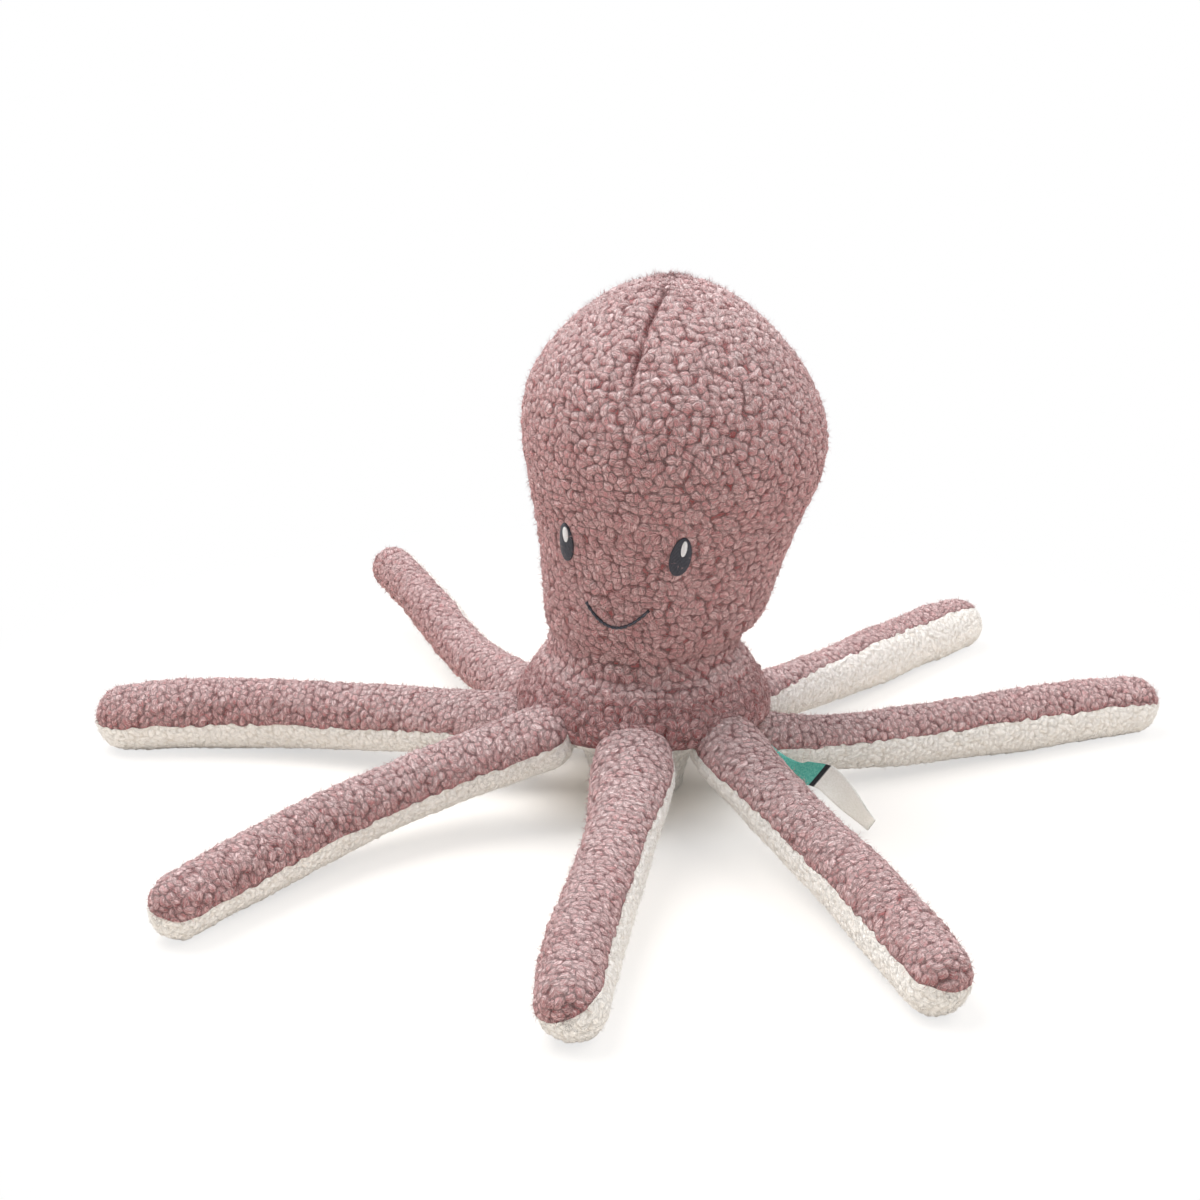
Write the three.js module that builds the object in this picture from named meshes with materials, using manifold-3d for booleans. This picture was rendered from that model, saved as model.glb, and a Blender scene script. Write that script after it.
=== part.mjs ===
// A plush octopus that stands on eight soft limbs, in millimetres, +Z up.
// The origin is the middle of the base on the floor, and the face looks towards -Y.
// Its covers are sewn panels over soft filling: a front and a back panel make the head and the skirt,
// a pale panel closes the bottom, and each limb has a top panel, an under panel and its own filling.
import * as THREE from 'three';
import { mergeVertices } from 'three/addons/utils/BufferGeometryUtils.js';
import Module from 'manifold-3d';

const wasm = await Module();
wasm.setup();

// Head, neck and skirt
const totalHeight = 238;
const headRadius = 66.3;
const neckHeight = 72;
const neckRadius = 43.4;
const skirtRadius = 58;
const skirtEdgeHeight = 43;
const baseFlatRadius = 20;
const headLean = 15.5;
const leanAzimuth = 25;
const faceAzimuth = -87;
const panelWall = 4;

// Seams between panels, and between a cover and its filling
const seamGap = 0.3;
const sideSeamForward = 8;
const sideSeamBackAtEdge = 16;
const sideSeamTurnHeight = 110;

// Limbs: eight, evenly spaced round the skirt
const limbCount = 8;
const rootCircleRadius = 57;
const rootHeight = 27;
const limbLength = 200;
const limbHalfWidth = 14.6;
const limbHalfHeight = 15.6;
const rootBallRadius = 14;
const limbWall = 3.2;
const limbSeamRise = 2.2;
const restCut = 0.5;

// The way each limb leaves the skirt, and how far it can move
const liftUp = 45;
const liftDown = 45;
const swingSide = 15;
const socketClearance = 2.2;
const notchClearance = 0.9;
const sideClearance = 2;

// Root stitching
const rootThreadRadius = 0.5;
const rootThreadAngle = 36;
const rootThreadTilt = 12;

// Face embroidery
const eyeWidth = 9.8;
const eyeHeight = 18.4;
const eyeSpread = 53;
const eyeCentreHeight = 130;
const eyeThickness = 1.1;
const highlightWidth = 3.1;
const highlightHeight = 6.6;
const highlightThickness = 0.7;
const highlightRise = 4;
const highlightTurn = 0.9;
const smileSpread = 31.5;
const smileCornerHeight = 104;
const smileDrop = 10;
const smileThreadRadius = 0.6;

// Label
const labelLength = 68.5;
const labelWidth = 12.2;
const labelThickness = 0.8;
const labelDroop = 32.4;
const labelTwist = 70;
const labelAzimuth = -4;

const overrun = 30;
const mergeTolerance = 1e-4;
const deg = Math.PI / 180;
const up = new THREE.Vector3(0, 0, 1);

// Height as a share of neck to crown, radius as a share of the head's, sideways lean as a share of the lean.
const headShares = [
  [0.078, 0.724, 0.46], [0.169, 0.778, 0.58], [0.277, 0.834, 0.72], [0.386, 0.906, 0.88],
  [0.482, 0.974, 0.98], [0.59, 1, 1], [0.675, 0.964, 0.91], [0.753, 0.882, 0.83],
  [0.825, 0.754, 0.83], [0.886, 0.603, 0.84], [0.94, 0.422, 0.85], [0.976, 0.22, 0.85],
];
const neckLeanShare = 0.19;
// Height as a share of skirt edge to neck, flare as a share of the neck radius to the skirt radius.
const skirtShares = [[0, 1], [0.18, 0.94], [0.394, 0.737], [0.667, 0.357]];
// Height as a share of the skirt edge, spread as a share of the base's flat radius to the skirt radius.
const baseShares = [[0, 0], [0.23, 0.06], [0.46, 0.15], [0.77, 0.66]];

// Each limb: its name, how far its heading turns from straight out at the root, along it and towards its tip,
// its roll about its own line (all in degrees), and shares: of the common girth, length and root height,
// and how far its tip stands off the floor as a share of the limb's length.
const limbs = [
  { name: 'front_right', turn: 0, bend: -35, curl: 36, roll: 24,
    girthShare: 1, lengthShare: 0.92, rootShare: 1.38, riseShare: 0 },
  { name: 'right_front', turn: -15, bend: -4, curl: -9, roll: -10,
    girthShare: 0.97, lengthShare: 0.96, rootShare: 1.35, riseShare: 0 },
  { name: 'right_back', turn: 11, bend: 50, curl: -43, roll: -13,
    girthShare: 0.93, lengthShare: 1.05, rootShare: 0.82, riseShare: 0 },
  { name: 'back_right', turn: -2, bend: 35, curl: -35, roll: -49,
    girthShare: 0.9, lengthShare: 1.04, rootShare: 0.82, riseShare: 0 },
  { name: 'back_left', turn: 5, bend: 10, curl: -10, roll: 10,
    girthShare: 0.9, lengthShare: 1, rootShare: 0.85, riseShare: 0 },
  { name: 'left_back', turn: 0, bend: -70, curl: 65, roll: -50,
    girthShare: 0.84, lengthShare: 1, rootShare: 0.9, riseShare: 0.13 },
  { name: 'left_front', turn: -24, bend: 24, curl: 12, roll: -9,
    girthShare: 1.05, lengthShare: 1.04, rootShare: 1.07, riseShare: 0 },
  { name: 'front_left', turn: -37, bend: 104, curl: -56, roll: -9,
    girthShare: 0.92, lengthShare: 0.99, rootShare: 1.45, riseShare: 0 },
];
const firstLimbAzimuth = -67.5;

// How much of the roll a limb has at its root, and where along it the full roll is reached.
const rootRollShare = 0.3;
const fullRollShare = 0.4;
// How quickly a limb comes down to the floor: the power of the share of its length that is left.
const settlePower = 2.4;
// Where the limb's first section lies past its root ball, as a share of the ball's radius.
const firstSectionShare = 0.8;
// Where along the label its turn on edge is complete.
const labelTurnShare = 0.5;
// Where the rings of a rounded end lie, as shares of its length.
const coverEndShares = [0.92, 0.55];
const fillingEndShares = [0.75];

// Width and height along a limb, as shares of its full ones at shares of its length.
const widthShares = [[0, 1], [0.1, 1.04], [0.2, 1.03], [0.4, 1], [0.8, 1], [0.92, 0.95], [1, 0.88]];
const heightShares = [
  [0, 0.84], [0.1, 0.84], [0.2, 0.88], [0.4, 0.97], [0.62, 1.03], [0.8, 1.03], [0.92, 0.97], [1, 0.88],
];

// Mesh density
const bodySides = 24;
const fillingSides = 14;
const limbSides = 12;
const limbFillingSides = 8;
const socketSides = 18;
const ringSides = 12;
const limbRings = 7;
const limbFillingRings = 4;
const smileSteps = 12;
const labelSteps = 12;
const eyeSides = 18;
const threadSides = 5;
const pathSteps = 48;

/**
 * A closed solid through rings of points that turn anticlockwise about the way of travel, with a pole at each
 * end. From side flipFrom on, quads are split along their other diagonal: a thin twisted strip keeps its
 * thickness.
 */
function loft(rings, startPole, endPole, flipFrom = Infinity) {
  const sides = rings[0].length;
  const positions = [];
  const index = [];
  for (const ring of rings) for (const p of ring) positions.push(p.x, p.y, p.z);
  const first = rings.length * sides;
  positions.push(startPole.x, startPole.y, startPole.z, endPole.x, endPole.y, endPole.z);
  for (let j = 0; j < sides; j++) {
    const next = (j + 1) % sides;
    index.push(first, next, j);
    const last = (rings.length - 1) * sides;
    index.push(first + 1, last + j, last + next);
    for (let k = 0; k < rings.length - 1; k++) {
      const a = k * sides;
      const b = a + sides;
      if (j < flipFrom) index.push(a + j, a + next, b + next, a + j, b + next, b + j);
      else index.push(a + j, a + next, b + j, a + next, b + next, b + j);
    }
  }
  const geometry = new THREE.BufferGeometry();
  geometry.setAttribute('position', new THREE.BufferAttribute(new Float32Array(positions), 3));
  geometry.setIndex(index);
  return geometry;
}

function toSolid(geometry) {
  geometry.deleteAttribute('normal');
  geometry.deleteAttribute('uv');
  const merged = mergeVertices(geometry, mergeTolerance);
  const vertProperties = new Float32Array(merged.attributes.position.array);
  const triVerts = new Uint32Array(merged.index.array);
  return new wasm.Manifold(new wasm.Mesh({ numProp: 3, vertProperties, triVerts }));
}

function toGeometry(solid) {
  const mesh = solid.getMesh();
  const geometry = new THREE.BufferGeometry();
  geometry.setAttribute('position', new THREE.BufferAttribute(new Float32Array(mesh.vertProperties), 3));
  geometry.setIndex(new THREE.BufferAttribute(new Uint32Array(mesh.triVerts), 1));
  geometry.computeVertexNormals();
  return geometry;
}

/** The value at t of a table of [t, value] rows, joined by straight lines. */
function along(rows, t) {
  for (let i = 1; i < rows.length; i++) {
    if (t <= rows[i][0]) {
      return THREE.MathUtils.mapLinear(t, rows[i - 1][0], rows[i][0], rows[i - 1][1], rows[i][1]);
    }
  }
  return rows[rows.length - 1][1];
}

function polar(radius, azimuth, z) {
  return new THREE.Vector3(radius * Math.cos(azimuth * deg), radius * Math.sin(azimuth * deg), z);
}

/** The body's profile from the flat base to just below the crown: height, radius and lean of each level. */
function bodyLevels() {
  const baseSpread = skirtRadius - baseFlatRadius;
  const flare = skirtRadius - neckRadius;
  const skirtRise = neckHeight - skirtEdgeHeight;
  const headRise = totalHeight - neckHeight;
  const neckLean = neckLeanShare * headLean;
  return [
    ...baseShares.map(([h, s]) => ({
      z: h * skirtEdgeHeight, r: baseFlatRadius + s * baseSpread, lean: s * neckLean,
    })),
    ...skirtShares.map(([h, s]) => ({
      z: skirtEdgeHeight + h * skirtRise, r: neckRadius + s * flare, lean: neckLean,
    })),
    { z: neckHeight, r: neckRadius, lean: neckLean },
    ...headShares.map(([h, s, l]) => ({ z: neckHeight + h * headRise, r: s * headRadius, lean: l * headLean })),
  ];
}

/** The body's solid with its surface moved out by an offset, or in by a negative one. */
function bodySolid(offset, sides, keepEvery) {
  const levels = bodyLevels();
  const crown = { z: totalHeight, r: 0, lean: levels[levels.length - 1].lean };
  const floor = { z: 0, r: 0, lean: 0 };
  const moved = levels.map((level, i) => {
    const before = levels[i - 1] ?? floor;
    const after = levels[i + 1] ?? crown;
    const slope = new THREE.Vector2(after.r - before.r, after.z - before.z).normalize();
    return { z: level.z - slope.x * offset, r: level.r + slope.y * offset, lean: level.lean };
  });
  moved[0].z = -offset;
  const kept = moved.filter((level, i) => i % keepEvery === 0 || i === moved.length - 1);
  const rings = kept.map(({ z, r, lean }) => {
    const middle = polar(lean, leanAzimuth, z);
    return Array.from({ length: sides }, (_, j) => polar(r, (j + 0.5) * 360 / sides, 0).add(middle));
  });
  const top = polar(crown.lean, leanAzimuth, totalHeight + offset);
  return toSolid(loft(rings, new THREE.Vector3(0, 0, -offset), top));
}

/** The middle and radius of the body's section at a height. */
function bodyAt(z) {
  const levels = bodyLevels();
  const radius = along(levels.map((level) => [level.z, level.r]), z);
  const lean = along(levels.map((level) => [level.z, level.lean]), z);
  return { middle: polar(lean, leanAzimuth, z), radius };
}

/** A plate with an outline in Y and Z that runs across the whole body along X. */
function acrossBody(outline) {
  const shape = new THREE.Shape(outline.map(([y, z]) => new THREE.Vector2(y, z)));
  const width = 2 * (headRadius + skirtRadius);
  const geometry = new THREE.ExtrudeGeometry(shape, { depth: width, bevelEnabled: false });
  geometry.translate(0, 0, -width / 2);
  // The shape's own X and Y become Y and Z, and the depth becomes X.
  geometry.applyMatrix4(new THREE.Matrix4().set(0, 0, 1, 0, 1, 0, 0, 0, 0, 1, 0, 0, 0, 0, 0, 1));
  return toSolid(geometry);
}

/** The root of a limb: where its ball turns, and which way the limb leaves it. */
function rootOf(limb, number) {
  const azimuth = firstLimbAzimuth + number * 360 / limbCount;
  const middle = polar(rootCircleRadius, azimuth, rootHeight * limb.rootShare);
  return { middle, azimuth, heading: azimuth + limb.turn };
}

/** Points and section frames along a limb, from the middle of its root ball to its tip. */
function limbPath(limb, number) {
  const root = rootOf(limb, number);
  const place = root.middle.clone();
  const length = limbLength * limb.lengthShare;
  const halfWidthAt = (s) => limbHalfWidth * limb.girthShare * along(widthShares, s);
  const halfHeightAt = (s) => limbHalfHeight * limb.girthShare * along(heightShares, s);
  const rollOf = (s) => {
    const turned = THREE.MathUtils.smoothstep(s, 0, fullRollShare);
    return limb.roll * deg * THREE.MathUtils.lerp(rootRollShare, 1, turned);
  };
  const halfTall = (s) => Math.hypot(
    halfWidthAt(s) * Math.sin(rollOf(s)),
    halfHeightAt(s) * Math.cos(rollOf(s)),
  );
  const clearAtRoot = place.z - halfTall(0) + restCut;
  const tipRise = length * limb.riseShare;
  const heightAt = (s) => halfTall(s) - restCut + clearAtRoot * (1 - s) ** settlePower + tipRise * s * s;
  const stations = [];
  for (let i = 0; i <= pathSteps; i++) {
    const s = i / pathSteps;
    const heading = root.heading + limb.bend * s + limb.curl * s * s;
    stations.push({
      place: new THREE.Vector3(place.x, place.y, heightAt(s)),
      halfWidth: halfWidthAt(s),
      halfHeight: halfHeightAt(s),
      roll: rollOf(s),
    });
    place.add(polar(length / pathSteps, heading, 0));
  }
  stations.forEach((station, i) => {
    const before = stations[Math.max(i - 1, 0)].place;
    const after = stations[Math.min(i + 1, pathSteps)].place;
    const forward = after.clone().sub(before).normalize();
    const left = new THREE.Vector3().crossVectors(up, forward).normalize();
    left.applyAxisAngle(forward, station.roll);
    station.forward = forward;
    station.left = left;
    station.top = new THREE.Vector3().crossVectors(forward, left);
  });
  return { stations, length };
}

/** The station of a path at a distance from the root, which may run past either end. */
function stationAt({ stations, length }, distance) {
  const step = length / pathSteps;
  const i = THREE.MathUtils.clamp(Math.round(distance / step), 0, pathSteps);
  const station = stations[i];
  const place = station.place.clone().addScaledVector(station.forward, distance - i * step);
  return { ...station, place };
}

function ellipse(station, halfWidth, halfHeight, sides) {
  return Array.from({ length: sides }, (_, j) => {
    const angle = (j + 0.5) * 2 * Math.PI / sides;
    return station.place.clone()
      .addScaledVector(station.left, -halfWidth * Math.sin(angle))
      .addScaledVector(station.top, halfHeight * Math.cos(angle));
  });
}

/** Distances from the root for a limb's sections, between its ball and its rounded tip. */
function limbSpacing({ stations, length }, count) {
  const start = firstSectionShare * rootBallRadius;
  const end = length - stations[pathSteps].halfHeight;
  return Array.from({ length: count }, (_, k) => start + (end - start) * k / (count - 1));
}

/** A limb's rounded solid, with its surface moved in by an inset. */
function limbSolid(path, inset, sides, count, endShares) {
  const rings = [];
  const ball = rootBallRadius - inset;
  for (const share of endShares) {
    const rim = ball * Math.sqrt(1 - share * share);
    rings.push(ellipse(stationAt(path, -share * ball), rim, rim, sides));
  }
  rings.push(ellipse(stationAt(path, 0), ball, ball, sides));
  const tip = path.stations[pathSteps];
  const tipLength = tip.halfHeight;
  for (const distance of limbSpacing(path, count)) {
    const station = stationAt(path, distance);
    rings.push(ellipse(station, station.halfWidth - inset, station.halfHeight - inset, sides));
  }
  for (const share of [...endShares].reverse()) {
    const rim = Math.sqrt(1 - share * share);
    const station = stationAt(path, path.length - tipLength + (tipLength - inset) * share);
    rings.push(ellipse(station, (tip.halfWidth - inset) * rim, (tip.halfHeight - inset) * rim, sides));
  }
  return toSolid(loft(rings, stationAt(path, -ball).place, stationAt(path, path.length - inset).place));
}

function middleOf(points) {
  return points.reduce((sum, p) => sum.add(p), new THREE.Vector3()).divideScalar(points.length);
}

/** A block that follows a limb, from a level near its seam to well above it. */
function seamBlock(path, from) {
  const reach = limbHalfHeight + overrun / 4;
  const to = limbHalfHeight + overrun;
  const distances = [-overrun, 0, ...limbSpacing(path, limbRings), path.length + overrun];
  const rings = distances.map((distance) => {
    const { place, left, top } = stationAt(path, distance);
    const corner = (side, rise) => place.clone().addScaledVector(left, side * reach).addScaledVector(top, rise);
    return [corner(1, from), corner(1, to), corner(-1, to), corner(-1, from)];
  });
  return toSolid(loft(rings, middleOf(rings[0]), middleOf(rings[rings.length - 1])));
}

/** The room that a limb's root takes as it turns in the skirt: a ball, and the notch that the limb swings through. */
function rootRoom(limb, number) {
  const root = rootOf(limb, number);
  const ball = new THREE.SphereGeometry(rootBallRadius + socketClearance, socketSides, socketSides / 2);
  ball.rotateX(Math.PI / 2);
  const offset = rootBallRadius + notchClearance;
  const reach = headRadius;
  const upper = new THREE.Vector2(-Math.sin(liftUp * deg), Math.cos(liftUp * deg)).multiplyScalar(offset);
  const lower = new THREE.Vector2(-Math.sin(liftDown * deg), -Math.cos(liftDown * deg)).multiplyScalar(offset);
  const away = (point, angle) => point.clone().add(
    new THREE.Vector2(Math.cos(angle * deg), Math.sin(angle * deg)).multiplyScalar(reach),
  );
  const far = rootCircleRadius + reach;
  const upperEnd = away(upper, liftUp);
  const lowerEnd = away(lower, -liftDown);
  const outline = [
    lower, lowerEnd, new THREE.Vector2(far, lowerEnd.y), new THREE.Vector2(far, upperEnd.y), upperEnd, upper,
  ];
  const widest = limbHalfWidth * limb.girthShare * Math.max(...widthShares.map(([, share]) => share));
  const side = (Math.max(rootBallRadius, widest) + sideClearance) / Math.cos(swingSide * deg);
  const notch = new THREE.ExtrudeGeometry(new THREE.Shape(outline), { depth: 2 * side, bevelEnabled: false });
  notch.translate(0, 0, -side);
  notch.rotateX(Math.PI / 2);
  const turned = new THREE.Matrix4().makeRotationZ(root.heading * deg).setPosition(root.middle);
  return toSolid(ball.applyMatrix4(turned)).add(toSolid(notch.applyMatrix4(turned)));
}

/** A round thread along points, closed into a ring or with flat ends. */
function thread(points, radius, closed, outwardAt) {
  const count = points.length;
  const rings = points.map((point, i) => {
    const before = closed ? points[(i + count - 1) % count] : points[Math.max(i - 1, 0)];
    const after = closed ? points[(i + 1) % count] : points[Math.min(i + 1, count - 1)];
    const forward = after.clone().sub(before).normalize();
    const side = outwardAt(point).cross(forward).normalize();
    const rise = new THREE.Vector3().crossVectors(forward, side);
    return Array.from({ length: threadSides }, (_, j) => {
      const angle = j * 2 * Math.PI / threadSides;
      return point.clone()
        .addScaledVector(side, radius * Math.cos(angle))
        .addScaledVector(rise, radius * Math.sin(angle));
    });
  });
  if (!closed) return loft(rings, points[0], points[count - 1]);
  const positions = rings.flat().flatMap((p) => [p.x, p.y, p.z]);
  const index = [];
  for (let k = 0; k < count; k++) {
    for (let j = 0; j < threadSides; j++) {
      const a = k * threadSides;
      const b = ((k + 1) % count) * threadSides;
      const next = (j + 1) % threadSides;
      index.push(a + j, a + next, b + next, a + j, b + next, b + j);
    }
  }
  const geometry = new THREE.BufferGeometry();
  geometry.setAttribute('position', new THREE.BufferAttribute(new Float32Array(positions), 3));
  geometry.setIndex(index);
  return geometry;
}

const octopus = new THREE.Group();

function place(name, geometry, finish) {
  geometry.computeVertexNormals();
  const mesh = new THREE.Mesh(geometry, new THREE.MeshStandardMaterial(finish));
  mesh.name = name;
  octopus.add(mesh);
}

const rosePlush = { color: 0xb28781, roughness: 1, metalness: 0 };
const creamPlush = { color: 0xf2ece2, roughness: 1, metalness: 0 };
const softFilling = { color: 0xfafaf7, roughness: 1, metalness: 0 };
const roseThread = { color: 0xa0736e, roughness: 0.8, metalness: 0 };
const charcoalThread = { color: 0x45454c, roughness: 0.6, metalness: 0 };
const whiteThread = { color: 0xf7f7f5, roughness: 0.6, metalness: 0 };
const labelCloth = { color: 0xf4f4f2, roughness: 0.7, metalness: 0 };

// Head, skirt and base
const rooms = limbs.map(rootRoom).reduce((sum, room) => sum.add(room));
const outer = bodySolid(0, bodySides, 1);
const cover = outer.subtract(bodySolid(-panelWall, fillingSides, 2)).subtract(rooms);
const far = totalHeight + overrun;
const wide = headRadius + headLean + overrun;
const halfGap = seamGap / 2;
const sideSeam = [
  [sideSeamBackAtEdge, skirtEdgeHeight + halfGap],
  [-sideSeamForward, sideSeamTurnHeight],
  [-sideSeamForward, far],
];
const sideOf = (shift) => sideSeam.map(([y, z]) => [y + shift, z]);
const frontBlock = acrossBody([...sideOf(-halfGap), [-wide, far], [-wide, skirtEdgeHeight + halfGap]]);
const backBlock = acrossBody([...sideOf(halfGap), [wide, far], [wide, skirtEdgeHeight + halfGap]]);
const lowEdge = skirtEdgeHeight - halfGap;
const baseBlock = acrossBody([[-wide, -overrun], [wide, -overrun], [wide, lowEdge], [-wide, lowEdge]]);
place('head_front_panel', toGeometry(cover.intersect(frontBlock)), rosePlush);
place('head_back_panel', toGeometry(cover.intersect(backBlock)), rosePlush);
place('base_panel', toGeometry(cover.intersect(baseBlock)), creamPlush);
const bodyFilling = bodySolid(-panelWall - seamGap, fillingSides, 2).subtract(rooms);
place('body_filling', toGeometry(bodyFilling), softFilling);

// Limbs, and the stitching that holds each one in the skirt
const floorWidth = 2 * (rootCircleRadius + 2 * limbLength);
const belowFloor = new THREE.BoxGeometry(floorWidth, floorWidth, overrun).translate(0, 0, -overrun / 2);
const floorBlock = toSolid(belowFloor);
limbs.forEach((limb, number) => {
  const path = limbPath(limb, number);
  const rise = limbSeamRise * limb.girthShare;
  const inside = (inset) => limbSolid(path, inset, limbFillingSides, limbFillingRings, fillingEndShares);
  const skin = limbSolid(path, 0, limbSides, limbRings, coverEndShares).subtract(inside(limbWall));
  const topCover = skin.intersect(seamBlock(path, rise + halfGap));
  const underCover = skin.subtract(seamBlock(path, rise - halfGap)).subtract(floorBlock);
  place(`${limb.name}_top_panel`, toGeometry(topCover), rosePlush);
  place(`${limb.name}_under_panel`, toGeometry(underCover), creamPlush);
  place(`${limb.name}_filling`, toGeometry(inside(limbWall + seamGap)), softFilling);
  const root = rootOf(limb, number);
  const inward = polar(-Math.cos(rootThreadTilt * deg), root.azimuth, Math.sin(rootThreadTilt * deg));
  const across = new THREE.Vector3().crossVectors(up, inward).normalize();
  const above = new THREE.Vector3().crossVectors(inward, across);
  const reach = rootBallRadius + seamGap + rootThreadRadius;
  const ring = Array.from({ length: ringSides }, (_, j) => {
    const angle = j * 2 * Math.PI / ringSides;
    return root.middle.clone()
      .addScaledVector(inward, reach * Math.cos(rootThreadAngle * deg))
      .addScaledVector(across, reach * Math.sin(rootThreadAngle * deg) * Math.cos(angle))
      .addScaledVector(above, reach * Math.sin(rootThreadAngle * deg) * Math.sin(angle));
  });
  const outwardAt = (point) => point.clone().sub(root.middle).normalize();
  place(`${limb.name}_root_stitching`, thread(ring, rootThreadRadius, true, outwardAt), roseThread);
});

// Face embroidery: each stitched patch follows the head's curve, a little proud of it
function faceFrame(azimuth, z) {
  const step = seamGap;
  const at = (height) => {
    const { middle, radius } = bodyAt(height);
    return polar(radius, azimuth, 0).add(middle);
  };
  const rise = at(z + step).sub(at(z - step)).normalize();
  const around = polar(1, azimuth + 90, 0);
  const outward = new THREE.Vector3().crossVectors(around, rise).normalize();
  return { point: at(z), rise, around, outward };
}

function patch(azimuth, z, width, height, low, thickness) {
  const { point, rise, around, outward } = faceFrame(azimuth, z);
  const disc = new THREE.CylinderGeometry(1, 1, overrun, eyeSides);
  const basis = new THREE.Matrix4().makeBasis(
    around.multiplyScalar(width / 2),
    outward,
    rise.multiplyScalar(-height / 2),
  );
  disc.applyMatrix4(basis.setPosition(point));
  const layer = bodySolid(low + thickness, bodySides, 1).subtract(bodySolid(low, bodySides, 1));
  return layer.intersect(toSolid(disc));
}

const eyeTop = seamGap + eyeThickness;
for (const [name, side] of [['left', -1], ['right', 1]]) {
  const azimuth = faceAzimuth + side * eyeSpread / 2;
  const eye = patch(azimuth, eyeCentreHeight, eyeWidth, eyeHeight, seamGap, eyeThickness);
  place(`${name}_eye`, toGeometry(eye), charcoalThread);
  const highlight = patch(
    azimuth + highlightTurn,
    eyeCentreHeight + highlightRise,
    highlightWidth,
    highlightHeight,
    eyeTop + seamGap,
    highlightThickness,
  );
  place(`${name}_eye_highlight`, toGeometry(highlight), whiteThread);
}

const smile = Array.from({ length: smileSteps + 1 }, (_, k) => {
  const u = 2 * k / smileSteps - 1;
  const height = smileCornerHeight - smileDrop * (1 - u * u);
  const { point, outward } = faceFrame(faceAzimuth + u * smileSpread / 2, height);
  return point.addScaledVector(outward, seamGap + smileThreadRadius);
});
const smileOutward = () => polar(1, faceAzimuth, 0);
place('smile', thread(smile, smileThreadRadius, false, smileOutward), charcoalThread);

// The label: a folded strip sewn flat into the skirt's seam between two limbs, which turns on edge as it droops
const labelRoot = polar(skirtRadius * Math.cos(Math.PI / bodySides) + seamGap, labelAzimuth, skirtEdgeHeight)
  .add(polar(neckLeanShare * headLean, leanAzimuth, 0));
const labelWay = polar(Math.cos(labelDroop * deg), labelAzimuth, -Math.sin(labelDroop * deg));
const labelRise = polar(Math.sin(labelDroop * deg), labelAzimuth, Math.cos(labelDroop * deg));
const labelAcross = new THREE.Vector3().crossVectors(labelRise, labelWay);
const labelCorners = [[1, 1], [-1, 1], [-1, -1], [1, -1]];
const labelRings = Array.from({ length: labelSteps + 1 }, (_, k) => {
  const t = k / labelSteps;
  const turn = labelTwist * deg * THREE.MathUtils.smoothstep(t, 0, labelTurnShare);
  const width = labelAcross.clone().multiplyScalar(Math.cos(turn)).addScaledVector(labelRise, Math.sin(turn));
  const depth = new THREE.Vector3().crossVectors(labelWay, width);
  const middle = labelRoot.clone().addScaledVector(labelWay, t * labelLength);
  return labelCorners.map(([w, d]) => middle.clone()
    .addScaledVector(width, w * labelWidth / 2)
    .addScaledVector(depth, d * labelThickness / 2));
});
const labelStrip = loft(
  labelRings,
  middleOf(labelRings[0]),
  middleOf(labelRings[labelSteps]),
  labelCorners.length / 2,
);
place('label', labelStrip, labelCloth);

export default octopus;
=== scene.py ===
import math
import bmesh
import bpy
import numpy as np
from mathutils import Matrix, Vector


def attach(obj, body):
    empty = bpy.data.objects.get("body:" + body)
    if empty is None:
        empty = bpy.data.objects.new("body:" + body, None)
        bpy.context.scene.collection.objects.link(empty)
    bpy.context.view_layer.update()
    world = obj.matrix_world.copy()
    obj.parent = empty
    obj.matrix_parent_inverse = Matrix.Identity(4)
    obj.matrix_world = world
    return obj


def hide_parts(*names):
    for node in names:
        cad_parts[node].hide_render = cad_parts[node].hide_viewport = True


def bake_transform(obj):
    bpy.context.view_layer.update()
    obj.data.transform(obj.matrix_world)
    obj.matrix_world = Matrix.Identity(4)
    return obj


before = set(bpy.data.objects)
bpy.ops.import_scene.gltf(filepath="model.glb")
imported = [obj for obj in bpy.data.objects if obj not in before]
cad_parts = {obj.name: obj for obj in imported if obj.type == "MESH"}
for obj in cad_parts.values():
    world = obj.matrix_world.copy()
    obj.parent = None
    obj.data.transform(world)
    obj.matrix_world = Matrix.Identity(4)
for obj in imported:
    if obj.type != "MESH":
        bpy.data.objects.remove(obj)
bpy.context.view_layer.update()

# Sizes in millimetres, angles in degrees, as in the part's own source

MM = 0.001

# The body
HEIGHT = 238.0
HEAD_RADIUS = 66.3
NECK_HEIGHT = 72.0
NECK_RADIUS = 43.4
SKIRT_RADIUS = 58.0
SKIRT_EDGE = 43.0
BASE_FLAT = 20.0
HEAD_LEAN = 15.5
LEAN_AZIMUTH = 25.0
LEAN_X = math.cos(math.radians(LEAN_AZIMUTH))
LEAN_Y = math.sin(math.radians(LEAN_AZIMUTH))
NECK_LEAN = 0.19
CROWN_DIP = 1.2
# Shares of the way up and of the radius, and for the head of its lean too
HEAD_SHARES = [
    (0.078, 0.724, 0.46), (0.169, 0.778, 0.58), (0.277, 0.834, 0.72), (0.386, 0.906, 0.88),
    (0.482, 0.974, 0.98), (0.59, 1, 1), (0.675, 0.964, 0.91), (0.753, 0.882, 0.83),
    (0.825, 0.754, 0.83), (0.886, 0.603, 0.84), (0.94, 0.422, 0.85), (0.976, 0.22, 0.85),
]
SKIRT_SHARES = [(0, 1), (0.18, 0.94), (0.394, 0.737), (0.667, 0.357)]
BASE_SHARES = [(0, 0), (0.23, 0.06), (0.46, 0.15), (0.77, 0.66)]
SEAM_FORWARD = 8.0
SEAM_BACK_AT_EDGE = 16.0
SEAM_TURN = 110.0
# Creases round the neck and the skirt: height, depth and width
NECK_CREASES = ((76.5, 1.5, 3.2), (68.0, 1.3, 2.6), (56.0, 0.8, 2.4))

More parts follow.
